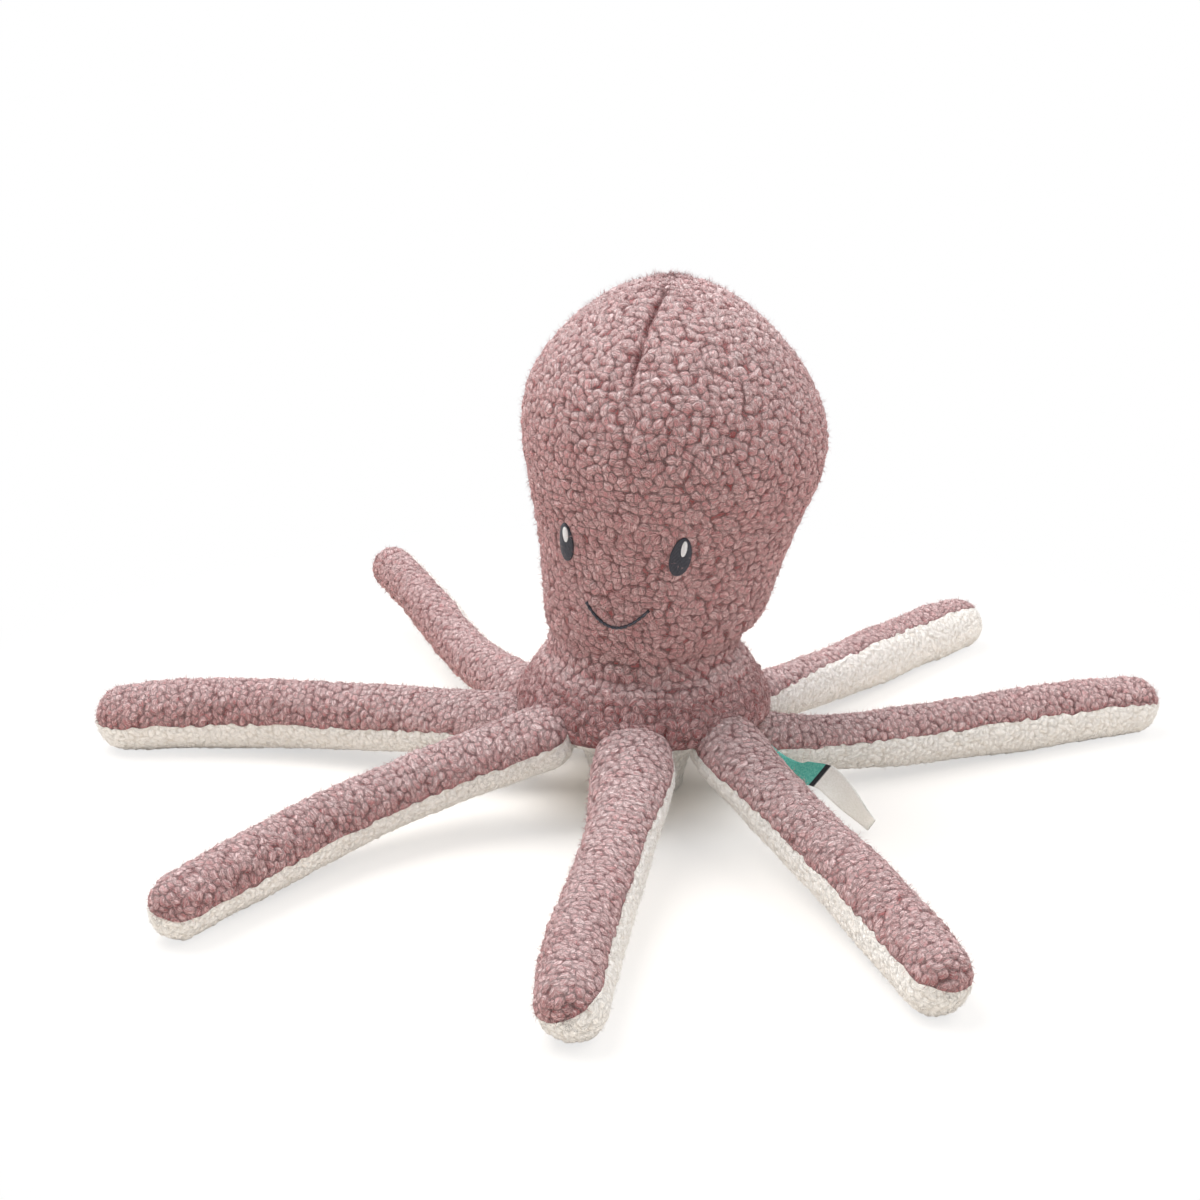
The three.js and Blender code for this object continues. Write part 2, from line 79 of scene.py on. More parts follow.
# The limbs
ROOT_CIRCLE = 57.0
ROOT_HEIGHT = 27.0
LIMB_LENGTH = 200.0
LIMB_HALF_WIDTH = 14.6
LIMB_HALF_HEIGHT = 15.6
BALL = 14.0
LIMB_SEAM_RISE = 2.2
REST_CUT = 0.5
FIRST_LIMB = -67.5
ROOT_ROLL = 0.3
FULL_ROLL = 0.4
SETTLE = 2.4
WIDTHS = [(0, 1), (0.1, 1.04), (0.2, 1.03), (0.4, 1), (0.8, 1), (0.92, 0.95), (1, 0.88)]
HEIGHTS = [
    (0, 0.84), (0.1, 0.84), (0.2, 0.88), (0.4, 0.97), (0.62, 1.03), (0.8, 1.03), (0.92, 0.97), (1, 0.88),
]
# Turn, bend, curl and roll are angles; girth, length, root height, rise and flare are shares
LIMBS = [
    dict(name="front_right", turn=0, bend=-35, curl=36, roll=24,
         girth=1, length=0.92, root=1.38, rise=0, flare=0.26),
    dict(name="right_front", turn=-15, bend=-4, curl=-9, roll=-10,
         girth=0.97, length=0.96, root=1.35, rise=0, flare=0.24),
    dict(name="right_back", turn=11, bend=50, curl=-43, roll=-13,
         girth=0.93, length=1.05, root=0.82, rise=0, flare=0.12),
    dict(name="back_right", turn=-2, bend=35, curl=-35, roll=-49,
         girth=0.9, length=1.04, root=0.82, rise=0, flare=0.1),
    dict(name="back_left", turn=5, bend=10, curl=-10, roll=10,
         girth=0.9, length=1, root=0.85, rise=0, flare=0.1),
    dict(name="left_back", turn=0, bend=-70, curl=65, roll=-50,
         girth=0.84, length=1, root=0.9, rise=0.13, flare=0.1),
    dict(name="left_front", turn=-24, bend=24, curl=12, roll=-9,
         girth=1.05, length=1.04, root=1.07, rise=0, flare=0.14),
    dict(name="front_left", turn=-37, bend=104, curl=-56, roll=-9,
         girth=0.92, length=0.99, root=1.45, rise=0, flare=0.26),
]
FLARE_REACH = 34.0
BEND_START = 2.0
BEND_END = 38.0

# The face
FACE_AZIMUTH = -87.0
EYE_SPREAD = 53.0
EYE_HEIGHT = 130.0
SMILE_SPREAD = 31.5
SMILE_CORNER = 104.0
SMILE_DROP = 10.0
DART_AZIMUTH = -82.0
DART_LOW = 176.0
DART_HIGH = 236.0

# The plush
ROSE_PITCH = 3.9
ROSE_PILE = 2.0
CREAM_PITCH = 3.0
CREAM_PILE = 1.25
TUCK = 3.0
FIBRE_HALF = 0.12
FIBRE_SUNK = 0.4
FIBRE_OPEN = 0.9
FIBRE_TINT = 0.6
FIBRES_ABOVE_FLOOR = 4.0
BODY_AROUND = 640
BODY_ROWS = 530
BASE_ROWS = 110
HEM_BAND = 6.0
LIMB_AROUND = 144
LIMB_ROW = 0.72
SOCKET_ROOM = 1.6
FLATTENED_BELOW = 0.6


def smooth(x):
    """Eases from 0 to 1 as x goes from 0 to 1."""
    x = np.clip(x, 0, 1)
    return x * x * (3 - 2 * x)


def unit(v):
    return v / np.maximum(np.linalg.norm(v, axis=-1, keepdims=True), 1e-9)


def scramble(*whole):
    """A share from 0 to 1 for each set of whole numbers, the same on every run."""
    h = np.zeros_like(np.asarray(whole[0], np.int64))
    for k, w in enumerate(whole):
        h = (h ^ (np.asarray(w, np.int64) * (73856093 + 12582917 * k))) & 0xFFFFFFFF
        h = ((h ^ (h >> 15)) * 0x2C1B3C6D) & 0xFFFFFFFF
        h = ((h ^ (h >> 12)) * 0x297A2D39) & 0xFFFFFFFF
    return ((h ^ (h >> 15)) & 0xFFFFFF) / 0xFFFFFF


def cloudy(points, size, seed):
    """Soft random waves from -1 to 1, about size millimetres from crest to crest."""
    p = points / size
    low = np.floor(p).astype(np.int64)
    part = smooth(p - low)
    total = np.zeros(len(points))
    for corner in np.ndindex(2, 2, 2):
        weight = np.prod(np.where(np.array(corner) == 1, part, 1 - part), axis=1)
        total += weight * scramble(*(low + np.array(corner)).T, np.full(len(points), seed))
    return 2 * total - 1


class Curls:
    """The curls of a plush in rows over a surface: domes of many sizes that overlap each other."""

    def __init__(self, surface, length, around_at, pitch, scatter, seed, lean_spread=1.0):
        rows = max(2, int(length / (pitch * 0.9)))
        self.row = length / rows
        self.counts = np.array([max(4, round(around_at((r + 0.5) * self.row) / pitch)) for r in range(rows)])
        wide = max(self.counts)
        r, k = np.meshgrid(np.arange(rows), np.arange(wide), indexing="ij")

        def chance(number):
            return scramble(r, k, r * 0 + seed + number)

        along = (r + 0.5 + scatter * (2 * chance(0) - 1)) * self.row
        turn = ((k + 0.5 * (r % 2) + scatter * (2 * chance(1) - 1)) / self.counts[:, None]) % 1.0
        along, turn = along.ravel(), turn.ravel()
        place, out = surface(along, turn)
        ahead = unit(surface(along + 0.4, turn)[0] - surface(along - 0.4, turn)[0])
        side = unit(np.cross(ahead, out))
        ahead = np.cross(out, side)
        lean = ((chance(3) - 0.5) * np.pi * lean_spread).ravel()[:, None]
        self.place = place.reshape(rows, wide, 3)
        self.long_way = (np.cos(lean) * side + np.sin(lean) * ahead).reshape(rows, wide, 3)
        self.short_way = (np.cos(lean) * ahead - np.sin(lean) * side).reshape(rows, wide, 3)
        self.long = pitch * (0.62 + 0.34 * chance(4))
        self.short = pitch * (0.50 + 0.24 * chance(5))
        self.tall = 0.6 + 0.4 * chance(2)
        self.number = chance(6)

    def measure(self, points, along, turn):
        """For each point: how high its curl stands there as a share, its number, and the place within it."""
        between_curls = 0.36 + 0.08 * cloudy(points, 1.8, 16)
        warp = np.stack([cloudy(points, 2.4, seed) for seed in (13, 14, 15)], axis=1)
        points = points + 0.5 * warp
        height = np.zeros(len(points))
        number = np.zeros(len(points))
        local = np.zeros((len(points), 3))
        home = np.clip((along / self.row).astype(np.int64), 0, len(self.counts) - 1)
        for dr in (-1, 0, 1):
            row = home + dr
            real = (row >= 0) & (row < len(self.counts))
            row = np.clip(row, 0, len(self.counts) - 1)
            first = np.round(turn * self.counts[row] - 0.5 * (row % 2)).astype(np.int64)
            for dk in (-1, 0, 1):
                place = (first + dk) % self.counts[row]
                away = points - self.place[row, place]
                x = np.einsum("ij,ij->i", away, self.long_way[row, place])
                y = np.einsum("ij,ij->i", away, self.short_way[row, place])
                apart = (x / self.long[row, place]) ** 2 + (y / self.short[row, place]) ** 2
                stands = self.tall[row, place] * np.sqrt(np.clip(1 - apart, 0, 1))
                won = real & (stands > height)
                height = np.where(won, stands, height)
                number = np.where(won, self.number[row, place], number)
                here = np.stack([x, y + 0.16 * x * x, number * 40], axis=1)
                local = np.where(won[:, None], here, local)
        return np.maximum(height, between_curls), number, local


def pile_height(curls, points, along, turn, pitch, pile):
    """How far plush stands out at each point and how open it is, with its curl's number and its place in it."""
    share, number, local = curls.measure(points, along, turn)
    rise = pile * share
    rise += 0.2 * pile * cloudy(points, 0.4 * pitch, 11) * share
    # How open a point is sets the painted shade between the curls
    return rise - 0.62 * pile, 0.1 + 0.9 * smooth((share - 0.24) / 0.46), number, local


# The body: one smooth profile from the middle of the base over the skirt and the head to the crown

def body_levels():
    """Height, radius and lean at each level, from the middle of the base to the crown."""
    lean = NECK_LEAN * HEAD_LEAN
    rise = NECK_HEIGHT - SKIRT_EDGE
    levels = [(0.0, 0.0, 0.0)]
    for up, out in BASE_SHARES:
        levels.append((up * SKIRT_EDGE, BASE_FLAT + out * (SKIRT_RADIUS - BASE_FLAT), out * lean))
    for up, out in SKIRT_SHARES:
        levels.append((SKIRT_EDGE + up * rise, NECK_RADIUS + out * (SKIRT_RADIUS - NECK_RADIUS), lean))
    levels.append((NECK_HEIGHT, NECK_RADIUS, lean))
    for up, out, tilt in HEAD_SHARES:
        levels.append((NECK_HEIGHT + up * (HEIGHT - NECK_HEIGHT), out * HEAD_RADIUS, tilt * HEAD_LEAN))
    levels.append((HEIGHT - CROWN_DIP, 0.0, HEAD_SHARES[-1][2] * HEAD_LEAN))
    return np.array(levels)


def lengths_along(points):
    """How far along a line of points each point lies."""
    return np.concatenate([[0], np.cumsum(np.linalg.norm(np.diff(points, axis=0), axis=1))])


def body_profile(levels, count):
    """A smooth curve through the levels, level where it starts and ends."""
    knots = lengths_along(levels[:, :2])
    slopes = np.gradient(levels, knots, axis=0)
    slopes[0] = (0, 1, 0)
    slopes[-1] = (0, -1, 0)
    along = np.linspace(0, knots[-1], count)
    span = np.clip(np.searchsorted(knots, along, side="right") - 1, 0, len(knots) - 2)
    size = (knots[span + 1] - knots[span])[:, None]
    share = ((along - knots[span])[:, None]) / size
    profile = (
        (2 * share ** 3 - 3 * share ** 2 + 1) * levels[span]
        + (share ** 3 - 2 * share ** 2 + share) * size * slopes[span]
        + (3 * share ** 2 - 2 * share ** 3) * levels[span + 1]
        + (share ** 3 - share ** 2) * size * slopes[span + 1]
    )
    profile[:, 1] = np.maximum(profile[:, 1], 0)
    profile[along < knots[1], 0] = 0
    return profile


PROFILE = body_profile(body_levels(), 3000)
STEPS = lengths_along(PROFILE[:, :2])
BODY_LENGTH = STEPS[-1]
TURNS = np.gradient(PROFILE[:, :2], STEPS, axis=0)
# The first points of the profile lie flat on the floor, where a height has no place of its own
RISING = slice(200, None)


def level_at(along, column):
    """The body's height, radius or lean, as column 0, 1 or 2, some way along its profile."""
    return np.interp(along, STEPS, PROFILE[:, column])


def along_of_height(z):
    """How far up the profile a height of the skirt or head is."""
    return np.interp(z, PROFILE[RISING, 0], STEPS[RISING])


EDGE_ALONG = float(along_of_height(SKIRT_EDGE))


def side_seam(z):
    """Where the seam between the front and the back runs, as its Y at each height."""
    low = (SEAM_TURN - z) / (SEAM_TURN - SKIRT_EDGE)
    return -SEAM_FORWARD + np.clip(low, 0, 1) * (SEAM_BACK_AT_EDGE + SEAM_FORWARD)


def body_surface(along, turn):
    """Points and outward directions of the stuffed body without its pile. Turn is a share of a full turn."""
    along = np.asarray(along, float)
    azimuth = np.asarray(turn, float) * 2 * np.pi
    z, r, lean = (level_at(along, c) for c in range(3))
    dz, dr = (np.interp(along, STEPS, TURNS[:, c]) for c in range(2))
    out = unit(np.stack([dz * np.cos(azimuth), dz * np.sin(azimuth), -dr], axis=1))
    middle = np.stack([lean * LEAN_X, lean * LEAN_Y, z], axis=1)
    p = middle + np.stack([r * np.cos(azimuth), r * np.sin(azimuth), np.zeros_like(r)], axis=1)
    lump = 0.9 * cloudy(p, 38, 21) + 0.5 * cloudy(p, 17, 22)
    lump = lump * smooth((z - 20) / 30) * smooth((HEIGHT - z) / 12)
    wave = 3.2 * cloudy(np.stack([azimuth * 0 + 3, np.cos(azimuth) * 20, np.sin(azimuth) * 20], axis=1), 14, 23)
    for height, depth, width in NECK_CREASES:
        lump -= depth * np.exp(-((z - height - wave) / width) ** 2)
    return p + out * lump[:, None], out


def share_of_turn(x, y):
    """The way of a point seen from the middle, as a share of a full turn."""
    return (np.arctan2(y, x) / (2 * np.pi)) % 1.0


def body_turn(point):
    """A body point's share of a full turn, from its place."""
    lean = np.interp(point[:, 2], PROFILE[RISING, 0], PROFILE[RISING, 2])
    return share_of_turn(point[:, 0] - lean * LEAN_X, point[:, 1] - lean * LEAN_Y)


def write_points(mesh, points):
    mesh.vertices.foreach_set("co", np.asarray(points, np.float32).ravel())
    mesh.update()


def read_points(mesh):
    co = np.zeros(len(mesh.vertices) * 3, np.float32)
    mesh.vertices.foreach_get("co", co)
    return co.reshape(-1, 3).astype(float)


def read_values(mesh, name):
    values = np.zeros(len(mesh.vertices), np.float32)
    mesh.attributes[name].data.foreach_get("value", values)
    return values.astype(float)


def write_values(mesh, name, values, kind="FLOAT"):
    attribute = mesh.attributes.get(name) or mesh.attributes.new(name, kind, "POINT")
    field = "vector" if kind == "FLOAT_VECTOR" else "value"
    attribute.data.foreach_set(field, np.asarray(values, np.float32).ravel())


def write_plush(mesh, opened, tint, local):
    """What the plush material reads: how open each point is, its curl's tint and its place in the curl."""
    # How open each point is drives the painted shade between the curls
    write_values(mesh, "crease", opened)
    write_values(mesh, "tint", tint)
    write_values(mesh, "curl", local, "FLOAT_VECTOR")


def globe(around, up_and_down):
    """A closed globe of quads with its shares from pole to pole and its turns, ready to be shaped."""
    bm = bmesh.new()
    bmesh.ops.create_grid(bm, x_segments=around, y_segments=up_and_down, size=0.5)
    rim = [v for v in bm.verts if v.is_boundary]
    for v in bm.verts:
        azimuth = (v.co.x + 0.5) * 2 * math.pi
        polar = (v.co.y + 0.5) * math.pi
        v.co = (math.sin(polar) * math.cos(azimuth), math.sin(polar) * math.sin(azimuth), -math.cos(polar))
    bmesh.ops.remove_doubles(bm, verts=rim, dist=1e-5)
    mesh = bpy.data.meshes.new("globe")
    bm.to_mesh(mesh)
    bm.free()
    co = read_points(mesh)
    rise = 1 - np.arccos(np.clip(co[:, 2], -1, 1)) / np.pi
    return mesh, rise, share_of_turn(co[:, 0], co[:, 1])


def cut_piece(mesh, planes):
    """The part of a shell behind each plane, with a seam allowance folded in along its cut edges."""
    bm = bmesh.new()
    bm.from_mesh(mesh)
    for point, away in planes:
        bmesh.ops.bisect_plane(
            bm, geom=bm.verts[:] + bm.edges[:] + bm.faces[:],
            plane_co=point, plane_no=away, clear_outer=True, dist=1e-5,
        )
    fold = bm.verts.layers.float.new("fold")
    rim = [e for e in bm.edges if e.is_boundary]
    allowance = bmesh.ops.extrude_edge_only(bm, edges=rim)
    for v in allowance["geom"]:
        if isinstance(v, bmesh.types.BMVert):
            v[fold] = 1.0
    piece = bpy.data.meshes.new("piece")
    bm.to_mesh(piece)
    bm.free()
    return piece


def repeated(shape, count):
    """One mesh that holds a shape so many times over."""
    whole = bmesh.new()
    block = shape.copy()
    while count:
        if count % 2:
            whole.from_mesh(block)
        count //= 2
        if count:
            double = bmesh.new()
            double.from_mesh(block)
            double.from_mesh(block)
            double.to_mesh(block)
            double.free()
    bpy.data.meshes.remove(block)
    mesh = bpy.data.meshes.new("repeated")
    whole.to_mesh(mesh)
    whole.free()
    return mesh


def one_fibre():
    """A closed three-sided cone, cut once across its middle so that it can bend."""
    bm = bmesh.new()
    bmesh.ops.create_cone(bm, cap_ends=True, segments=3, radius1=1.0, radius2=0.0, depth=1.0)
    sides = [e for e in bm.edges if abs(e.verts[0].co.z - e.verts[1].co.z) > 0.5]
    bmesh.ops.subdivide_edges(bm, edges=sides, cuts=1, use_grid_fill=True)
    mesh = bpy.data.meshes.new("fibre")
    bm.to_mesh(mesh)
    bm.free()
    return mesh


FIBRE = one_fibre()


def with_fibres(mesh, count, length, seed, lowest):
    """Adds fine bent fibres that stand out of a cover at random, where it is higher than the lowest height."""
    co = read_points(mesh)
    out = np.zeros(len(co) * 3, np.float32)
    mesh.vertex_normals.foreach_get("vector", out)
    out = out.reshape(-1, 3).astype(float)
    order = np.arange(count)
    chosen = (scramble(order, order * 0 + seed) * (len(co) - 1)).astype(np.int64)
    chosen = chosen[co[chosen, 2] > lowest * MM]
    order = np.arange(len(chosen))

    def chance(number):
        return scramble(order, order * 0 + seed + number)[:, None, None]

    root = co[chosen][:, None, :]
    away = out[chosen][:, None, :]
    loose = np.concatenate([chance(1), chance(2), chance(3)], axis=2) * 2 - 1
    side = unit(np.cross(away, loose))
    third = np.cross(away, side)
    x, y, z = (read_points(FIBRE)[:, c][None, :, None] for c in range(3))
    up = z + 0.5
    reach = length * (0.5 + chance(4)) * MM
    rise = reach * up * (1.25 - 0.5 * up) - FIBRE_SUNK * MM * (1 - up)
    bend = reach * (0.5 * up + (0.4 + 0.3 * chance(5)) * up ** 2)
    points = root + away * rise + side * (bend + x * FIBRE_HALF * MM) + third * y * FIBRE_HALF * MM
    points = points.reshape(-1, 3)
    fibres = repeated(FIBRE, len(chosen))
    write_points(fibres, points)
    write_plush(fibres, np.full(len(points), FIBRE_OPEN), np.full(len(points), FIBRE_TINT), points / MM)
    bm = bmesh.new()
    bm.from_mesh(mesh)
    bm.from_mesh(fibres)
    bm.to_mesh(mesh)
    bm.free()
    bpy.data.meshes.remove(fibres)


def finish_piece(name, mesh, material, node):
    """Puts a smooth-shaded piece into the scene in place of the node that it stands for."""
    mesh.name = name
    mesh.materials.append(material)
    mesh.polygons.foreach_set("use_smooth", np.ones(len(mesh.polygons), bool))
    obj = bpy.data.objects.new(name, mesh)
    bpy.context.scene.collection.objects.link(obj)
    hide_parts(node)
    return obj


# Materials: each pattern is an expression on the surface's own values

class Value:
    """A shader socket that takes part in Python arithmetic."""

    def __init__(self, tree, socket):
        self.tree = tree
        self.socket = socket

    def maths(self, operation, *others):
        return self.tree.node("ShaderNodeMath", dict(operation=operation), [self, *others])

    def __add__(self, other):
        return self.maths("ADD", other)

    def __radd__(self, other):
        return self.maths("ADD", other)

    def __sub__(self, other):
        return self.maths("SUBTRACT", other)

    def __rsub__(self, other):
        return self.tree.node("ShaderNodeMath", dict(operation="SUBTRACT"), [other, self])

    def __mul__(self, other):
        return self.maths("MULTIPLY", other)

    def __rmul__(self, other):
        return self.maths("MULTIPLY", other)

    def kept(self):
        """The value held between 0 and 1."""
        return self.maths("MAXIMUM", 0.0).maths("MINIMUM", 1.0)

    def eased(self, low, high):
        """From 0 at low to 1 at high, eased at both ends."""
        node = dict(interpolation_type="SMOOTHSTEP")
        return self.tree.node("ShaderNodeMapRange", node, [self, low, high, 0.0, 1.0])


class Finish:
    """One material and its nodes."""

    def __init__(self, name, roughness, **constants):
        self.material = bpy.data.materials.new(name)
        self.material.use_nodes = True
        self.nodes = self.material.node_tree.nodes
        self.links = self.material.node_tree.links
        self.shader = self.nodes["Principled BSDF"]
        self.shader.inputs["Roughness"].default_value = roughness
        for socket, value in constants.items():
            self.shader.inputs[socket.replace("_", " ")].default_value = value

    def node(self, kind, settings=None, values=(), output=0):
        """A node of one kind with its settings, its sockets' values or links, and one of its outputs."""
        node = self.nodes.new(kind)
        for setting, value in (settings or {}).items():
            setattr(node, setting, value)
        pairs = values.items() if isinstance(values, dict) else enumerate(values)
        for place, value in pairs:
            if isinstance(value, Value):
                self.links.new(value.socket, node.inputs[place])
            else:
                node.inputs[place].default_value = value
        return Value(self, node.outputs[output])

    def attribute(self, name, output="Fac"):
        return self.node("ShaderNodeAttribute", dict(attribute_name=name), output=output)

    def place(self):
        return self.node("ShaderNodeTexCoord", output="Object")

    def noise(self, at, scale, detail=2.0, distortion=0.0):
        return self.node("ShaderNodeTexNoise", None, dict(
            Vector=at, Scale=scale, Detail=detail, Distortion=distortion), output="Fac")

    def mix(self, factor, first, second):
        """Mixes two colours."""
        return self.node("ShaderNodeMix", dict(data_type="RGBA"), {0: factor, 6: first, 7: second}, output=2)

    def colour(self, value):
        self.links.new(value.socket, self.shader.inputs["Base Color"])

    def bump(self, height, strength, distance):
        values = dict(Strength=strength, Distance=distance, Height=height)
        bumpy = self.node("ShaderNodeBump", None, values, "Normal")
        self.links.new(bumpy.socket, self.shader.inputs["Normal"])


def tone(red, green, blue):
    """A colour as a picture writes it, from 0 to 255, turned into the renderer's own."""
    out = []
    for channel in (red, green, blue):
        c = channel / 255
        out.append(c / 12.92 if c <= 0.04045 else ((c + 0.055) / 1.055) ** 2.4)
    return (*out, 1.0)


# Strands are laid in millimetres along each curl, and specks in metres
STRAND_STRETCH = (0.5, 2.0, 1.0)
STRAND_SCALE = 0.8
SPECK_SCALE = 1000.0
STRAND_DEPTH = 0.0009


def plush(name, colours, sheen, glow, relief, contrast, top_light_paint):
    """Curls with fine strands that follow each curl's own bend, with painted shade between the curls.

    Contrast is how light the strands get, and the last argument how much painted top light lightens the pile
    where it faces up.
    """
    deep, middle, light = colours
    finish = Finish(
        name, 0.95, Sheen_Weight=sheen, Sheen_Roughness=0.4, Sheen_Tint=glow, Specular_IOR_Level=0.05,
    )
    opened = finish.attribute("crease")
    tint = finish.attribute("tint")
    curl = finish.attribute("curl", "Vector")
    stretched = finish.node("ShaderNodeVectorMath", dict(operation="MULTIPLY"), [curl, STRAND_STRETCH])
    strand = finish.noise(stretched, STRAND_SCALE, 2.5, 0.8)
    speck = finish.noise(finish.place(), SPECK_SCALE, 2.0, 1.5)
    thread = strand.eased(0.38, 0.62)
    # Painted shade: where the crease value is low, between the curls, the colour goes to the deep tone
    base = finish.mix((opened * 1.05 + thread * 0.3 - 0.12).kept(), deep, middle)
    streak = (thread * 0.75 + tint * 0.3 + (speck - 0.5) * 1.2 - 0.3) * (opened * 0.8 + 0.2) * contrast
    # Painted top light: the pile is painted paler where it faces up, as if lit from above
    facing = finish.node("ShaderNodeNewGeometry", output="Normal")
    upwards = finish.node("ShaderNodeSeparateXYZ", None, [facing], "Z").eased(-0.1, 1.0)
    paler_share = (streak + upwards * opened * top_light_paint).kept()
    finish.colour(finish.mix(paler_share, base, light))
    finish.bump(thread * 0.8 + speck * 0.8, relief, STRAND_DEPTH)
    return finish.material


# Each plush's first colour is the painted shade between its curls
ROSE = plush(
    "rose plush", (tone(132, 58, 57), tone(211, 151, 152), tone(240, 217, 216)),
    sheen=0.4, glow=(1.0, 0.9, 0.9, 1.0), relief=1.0, contrast=0.75, top_light_paint=0.5,
)
CREAM = plush(
    "cream sherpa", (tone(241, 233, 223), tone(250, 246, 241), tone(255, 253, 250)),
    sheen=0.8, glow=(1.0, 0.99, 0.98, 1.0), relief=0.6, contrast=0.8, top_light_paint=0.1,
)


def plain(name, colour, second, scale, roughness):
    """A cloudy mix of two close colours."""
    finish = Finish(name, roughness, Specular_IOR_Level=0.2)
    finish.colour(finish.mix(finish.noise(finish.place(), scale, 3.0).eased(0.3, 0.7), colour, second))
    return finish.material


FILLING = plain("polyester filling", tone(238, 238, 234), tone(252, 252, 250), 160.0, 1.0)
ROSE_THREAD = plain("rose thread", tone(140, 96, 92), tone(168, 120, 115), 900.0, 0.8)


# Head, skirt and base covers

def around_body(along):
    """The body's girth some way along its profile."""
    return 2 * np.pi * level_at(along, 1) + 1e-3


ROSE_BODY = Curls(body_surface, BODY_LENGTH, around_body, ROSE_PITCH, 0.36, 31)
CREAM_BODY = Curls(body_surface, BODY_LENGTH, around_body, CREAM_PITCH, 0.36, 32)


def limb_root(number):
    """A limb's azimuth in degrees, its way out and the middle of its root ball."""
    azimuth = FIRST_LIMB + 45 * number
    outward = np.array([math.cos(math.radians(azimuth)), math.sin(math.radians(azimuth)), 0])
    return azimuth, outward, outward * ROOT_CIRCLE + np.array([0, 0, ROOT_HEIGHT * LIMBS[number]["root"]])


def face_spot(azimuth, z):
    """A point of the head's surface, with its outward, upward and sideways directions."""
    along = np.array([along_of_height(z)])
    turn = np.array([(azimuth / 360) % 1.0])
    p, out = body_surface(along, turn)
    q, _ = body_surface(along + 2, turn)
    rise = unit(q - body_surface(along - 2, turn)[0])
    side = np.cross(rise, out)
    return p[0], unit(np.cross(side, rise))[0], rise[0], side[0]


def smile_line(across):
    """Azimuth and height of the smile, from -1 at its one end to 1 at its other."""
    return FACE_AZIMUTH + across * SMILE_SPREAD / 2, SMILE_CORNER - SMILE_DROP * (1 - across * across)


EYES = [face_spot(FACE_AZIMUTH + side * EYE_SPREAD / 2, EYE_HEIGHT) for side in (-1, 1)]
SMILE = np.array([face_spot(azimuth, z)[0] for azimuth, z in zip(*smile_line(np.linspace(-1, 1, 41)))])


def pressed_by_embroidery(points):
    """How much of the pile is left under and beside the eyes and the smile."""
    half_width, half_height, far_behind, smile_reach = 5.4, 9.7, 20, 30
    left = np.ones(len(points))
    for p, out, rise, side in EYES:
        x = (points - p) @ side / half_width
        y = (points - p) @ rise / half_height
        behind = np.abs((points - p) @ out) > far_behind
        beside = smooth((np.hypot(x, y) - 0.95) / 0.35)
        left = np.minimum(left, 0.1 + 0.9 * np.maximum(beside, behind))
    near = np.full(len(points), 9.0)
    close = np.linalg.norm(points - SMILE.mean(axis=0), axis=1) < smile_reach
    away = points[close][:, None, :] - SMILE[None, :, :]
    near[close] = np.min(np.linalg.norm(away, axis=2), axis=1)
    return np.minimum(left, 0.25 + 0.75 * smooth((near - 0.9) / 1.3))


def room_for_roots(points, along):
    """Moves body points in the limbs' root balls: the base's inwards, as a socket, and the skirt's up."""
    points = points.copy()
    ball = BALL + SOCKET_ROOM
    for number in range(len(LIMBS)):
        _, outward, root = limb_root(number)
        inward = -outward
        away = points - root
        deep = away @ inward
        rest = away - deep[:, None] * inward
        flat = np.linalg.norm(rest, axis=1)
        reach = np.sqrt(np.clip(ball ** 2 - flat ** 2, 0, None))
        low = (flat < ball) & (deep < reach) & (deep > -2 * ball) & (along < EDGE_ALONG)
        points[low] += ((reach - deep)[low])[:, None] * inward
        lift = (flat < ball) & (np.linalg.norm(away, axis=1) < ball) & (along >= EDGE_ALONG)
        over = np.sqrt(np.clip(ball ** 2 - (away[:, 0] ** 2 + away[:, 1] ** 2), 0, None)) + root[2]
        points[lift, 2] = np.maximum(points[lift, 2], 0.55 * over[lift] + 0.45 * points[lift, 2])
    return points


def body_shell():
    """A smooth shell of the body, with the line between its front and its back laid straight for the cuts."""
    mesh, rise, turn = globe(BODY_AROUND, BODY_ROWS)
    low_rows = BASE_ROWS / BODY_ROWS
    along = np.where(
        rise < low_rows,
        rise / low_rows * (EDGE_ALONG - HEM_BAND),
        EDGE_ALONG - HEM_BAND + (rise - low_rows) / (1 - low_rows) * (BODY_LENGTH - EDGE_ALONG + HEM_BAND),
    )
    height, radius, lean = (level_at(along, column) for column in range(3))
    points = np.stack([
        radius * np.cos(turn * 2 * np.pi) + lean * LEAN_X,
        radius * np.sin(turn * 2 * np.pi) + (lean * LEAN_Y - side_seam(height)),
        height,
    ], axis=1)
    write_points(mesh, points)
    write_values(mesh, "along", along)
    return mesh


def with_dart(points, along, turn, height, opened):
    """The crown dart: a wandering groove in the front's pile, which deepens towards the crown."""
    away = ((turn - (DART_AZIMUTH / 360) % 1.0 + 0.5) % 1.0 - 0.5) * around_body(along)
    away = away + 1.6 * cloudy(points, 15, 24) + 1.5 * cloudy(points, 5, 25)
    deep = smooth((points[:, 2] - DART_LOW) / 34) * smooth((DART_HIGH - points[:, 2]) / 3)
    deep = deep * np.clip(0.9 + 0.35 * cloudy(points, 7, 26), 0, 1)
    groove = deep * np.exp(-(away / 1.5) ** 2)
    height = height * (1 - 0.85 * groove) - 2.6 * groove - 1.2 * deep * np.exp(-(away / 6) ** 2)
    # Painted shade in the dart's groove
    return height, opened * (1 - 0.95 * groove)


def rose_pile(points, along, turn, seam_way):
    """The pile of the head and the skirt, pressed down at its seams and by the embroidery."""
    height, opened, tint, local = pile_height(ROSE_BODY, points, along, turn, ROSE_PITCH, ROSE_PILE)
    seam = np.minimum(np.abs(along - EDGE_ALONG), np.abs(seam_way) + 1.5)
    near = smooth(seam / 1.6)
    height = height * pressed_by_embroidery(points) * (0.4 + 0.6 * near) - 0.3 * (1 - near)
    # Painted shade along the seams' grooves
    return height, opened * (0.5 + 0.5 * near), tint, local


